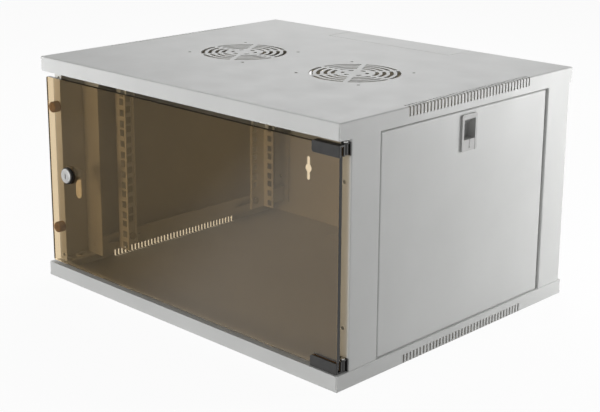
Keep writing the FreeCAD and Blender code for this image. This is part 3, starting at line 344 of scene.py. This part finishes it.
def coil_spring(side):
    """The latch's return spring as a wire helix in the sleeve's place."""
    node = "latch_spring_" + side
    low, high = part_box(node)
    sections = 8
    mesh = bpy.data.meshes.new("latch_coil_" + side)
    build = bmesh.new()
    rings = helix_rings(build, low, high, wire=0.35 * MM, turns=7, steps_per_turn=20,
                        sections=sections)
    for first, second in zip(rings, rings[1:]):
        for section in range(sections):
            after = (section + 1) % sections
            build.faces.new((first[section], first[after], second[after], second[section]))
    build.faces.new(reversed(rings[0]))
    build.faces.new(rings[-1])
    bmesh.ops.recalc_face_normals(build, faces=build.faces)
    build.to_mesh(mesh)
    build.free()
    coil = new_piece("latch_coil_" + side, mesh, "cabinet", "bright_screw")
    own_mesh(coil)
    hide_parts(node)


# ---------------------------------------------------------------- stage, light and camera

WHITE = (1.0, 1.0, 1.0, 1.0)
WORLD_ON_OBJECT = 0.16        # strength of the white world where it only lights the object
FLOOR_GLOW = 0.95             # how far the floor shows as plain white rather than as lit paper
# Lamp name: place, aim, side in metres and power in watts.
LAMPS = {
    "key_front": ((-0.65, -2.1, 0.55), (0.0, -0.2, 0.13), 0.5, 5),
    "key_right": ((0.15, -2.1, 0.45), (-0.05, -0.2, 0.13), 0.4, 13.8),
    "low_left": ((-1.15, -0.58, 0.08), (-0.25, -0.25, 0.05), 0.3, 4.4),
    "rear_right_low": ((0.8, 0.8, 0.3), (0.27, 0.1, 0.14), 0.4, 7.0),
    "rear_left_high": ((-0.9, 1.2, 1.6), (0.0, 0.1, 0.3), 1.2, 18),
}


def seen_directly(tree):
    """1 for the rays that show the background: from the camera, off a gloss and through glass."""
    path = tree.nodes.new("ShaderNodeLightPath").outputs
    seen = math_node(tree, "MAXIMUM", path["Is Camera Ray"], path["Is Glossy Ray"])
    return math_node(tree, "MAXIMUM", seen, path["Is Transmission Ray"])


def make_world():
    """A dim white world on the object, which shows as plain white behind it."""
    world = bpy.data.worlds.new("studio")
    bpy.context.scene.world = world
    world.use_nodes = True
    tree = world.node_tree
    lit = tree.nodes["Background"]
    lit.inputs["Color"].default_value = WHITE
    lit.inputs["Strength"].default_value = WORLD_ON_OBJECT
    plain = tree.nodes.new("ShaderNodeBackground")
    plain.inputs["Color"].default_value = WHITE
    plain.inputs["Strength"].default_value = 1.0
    mix_shaders(tree, seen_directly(tree), lit.outputs["Background"],
                plain.outputs["Background"], "World Output")


def stage_plane(name, material_name, **place):
    """A flat stage piece with a matt material of its own, and that material's node tree."""
    bpy.ops.mesh.primitive_plane_add(**place)
    plane = bpy.context.object
    plane.name = name
    material = bpy.data.materials.new(material_name)
    material.use_nodes = True
    plane.data.materials.append(material)
    return plane, material.node_tree


def make_floor():
    """White paper just under the base, which keeps the object's soft shadow."""
    floor, tree = stage_plane("studio_floor", "floor_paper", size=8, location=(0, 0, -0.2 * MM))
    paper = tree.nodes["Principled BSDF"]
    paper.inputs["Base Color"].default_value = (0.92, 0.92, 0.92, 1)
    paper.inputs["Roughness"].default_value = 0.9
    paper.inputs["Specular IOR Level"].default_value = 0.0
    glow = tree.nodes.new("ShaderNodeEmission")
    glow.inputs["Color"].default_value = WHITE
    share = math_node(tree, "MULTIPLY", seen_directly(tree), FLOOR_GLOW)
    mix_shaders(tree, share, paper.outputs["BSDF"], glow.outputs["Emission"])


def make_flag():
    """A dark card on the floor at the front left, which only reflections show, for the glass."""
    flag, tree = stage_plane("studio_flag", "black_felt", size=1, location=(-1.23, -0.62, 1 * MM),
                             rotation=(0, 0, math.radians(57.3)))
    flag.scale = (2.6, 1.7, 1)
    flag.visible_camera = False
    flag.visible_diffuse = False
    flag.visible_shadow = False
    flag.visible_transmission = False
    cloth = tree.nodes["Principled BSDF"]
    cloth.inputs["Base Color"].default_value = (0.015, 0.012, 0.009, 1)
    cloth.inputs["Roughness"].default_value = 1.0
    clear = tree.nodes.new("ShaderNodeBsdfTransparent")
    where = tree.nodes.new("ShaderNodeTexCoord")
    split = tree.nodes.new("ShaderNodeSeparateXYZ")
    tree.links.new(where.outputs["Object"], split.inputs[0])
    # The card fades out towards its edge at -0.5, in its own coordinates.
    fade = tree.nodes.new("ShaderNodeMapRange")
    fade.interpolation_type = "SMOOTHSTEP"
    fade.inputs["From Min"].default_value = -0.5
    fade.inputs["From Max"].default_value = -0.38
    tree.links.new(split.outputs["Y"], fade.inputs["Value"])
    mix_shaders(tree, fade.outputs["Result"], clear.outputs["BSDF"], cloth.outputs["BSDF"])


def make_lights():
    for name, (place, aim, side, power) in LAMPS.items():
        lamp = bpy.data.lights.new(name, "AREA")
        lamp.shape = "SQUARE"
        lamp.size = side
        lamp.energy = power
        holder = bpy.data.objects.new(name, lamp)
        bpy.context.scene.collection.objects.link(holder)
        holder.location = place
        way = Vector(aim) - Vector(place)
        holder.rotation_euler = way.to_track_quat("-Z", "Y").to_euler()


def make_camera():
    """The photograph's camera, solved from the cabinet's edges."""
    azimuth, elevation, roll = math.radians(44.898), math.radians(14.794), math.radians(0.0944)
    distance = 1.46246
    target = Vector((0.18560, FRONT_LIP, 0.26568))
    level = Vector((math.cos(azimuth), math.sin(azimuth), 0))
    ground = Vector((-math.sin(azimuth), math.cos(azimuth), 0))
    ahead = ground * math.cos(elevation) - Vector((0, 0, math.sin(elevation)))
    lift = level.cross(ahead)
    right = level * math.cos(roll) + lift * math.sin(roll)
    up = lift * math.cos(roll) - level * math.sin(roll)
    camera = bpy.data.cameras.new("camera")
    camera.lens = 78.63
    camera.sensor_width = 36
    camera.shift_x = 0.0305
    camera.shift_y = -0.0918
    holder = bpy.data.objects.new("camera", camera)
    bpy.context.scene.collection.objects.link(holder)
    turn = Matrix((right, up, -ahead)).transposed().to_4x4()
    holder.matrix_world = Matrix.Translation(target - ahead * distance) @ turn
    bpy.context.scene.camera = holder


dress_nodes()
for side_name in ("left", "right"):
    coil_spring(side_name)
make_world()
make_floor()
make_flag()
make_lights()
make_camera()
bpy.context.scene.view_settings.view_transform = "Standard"
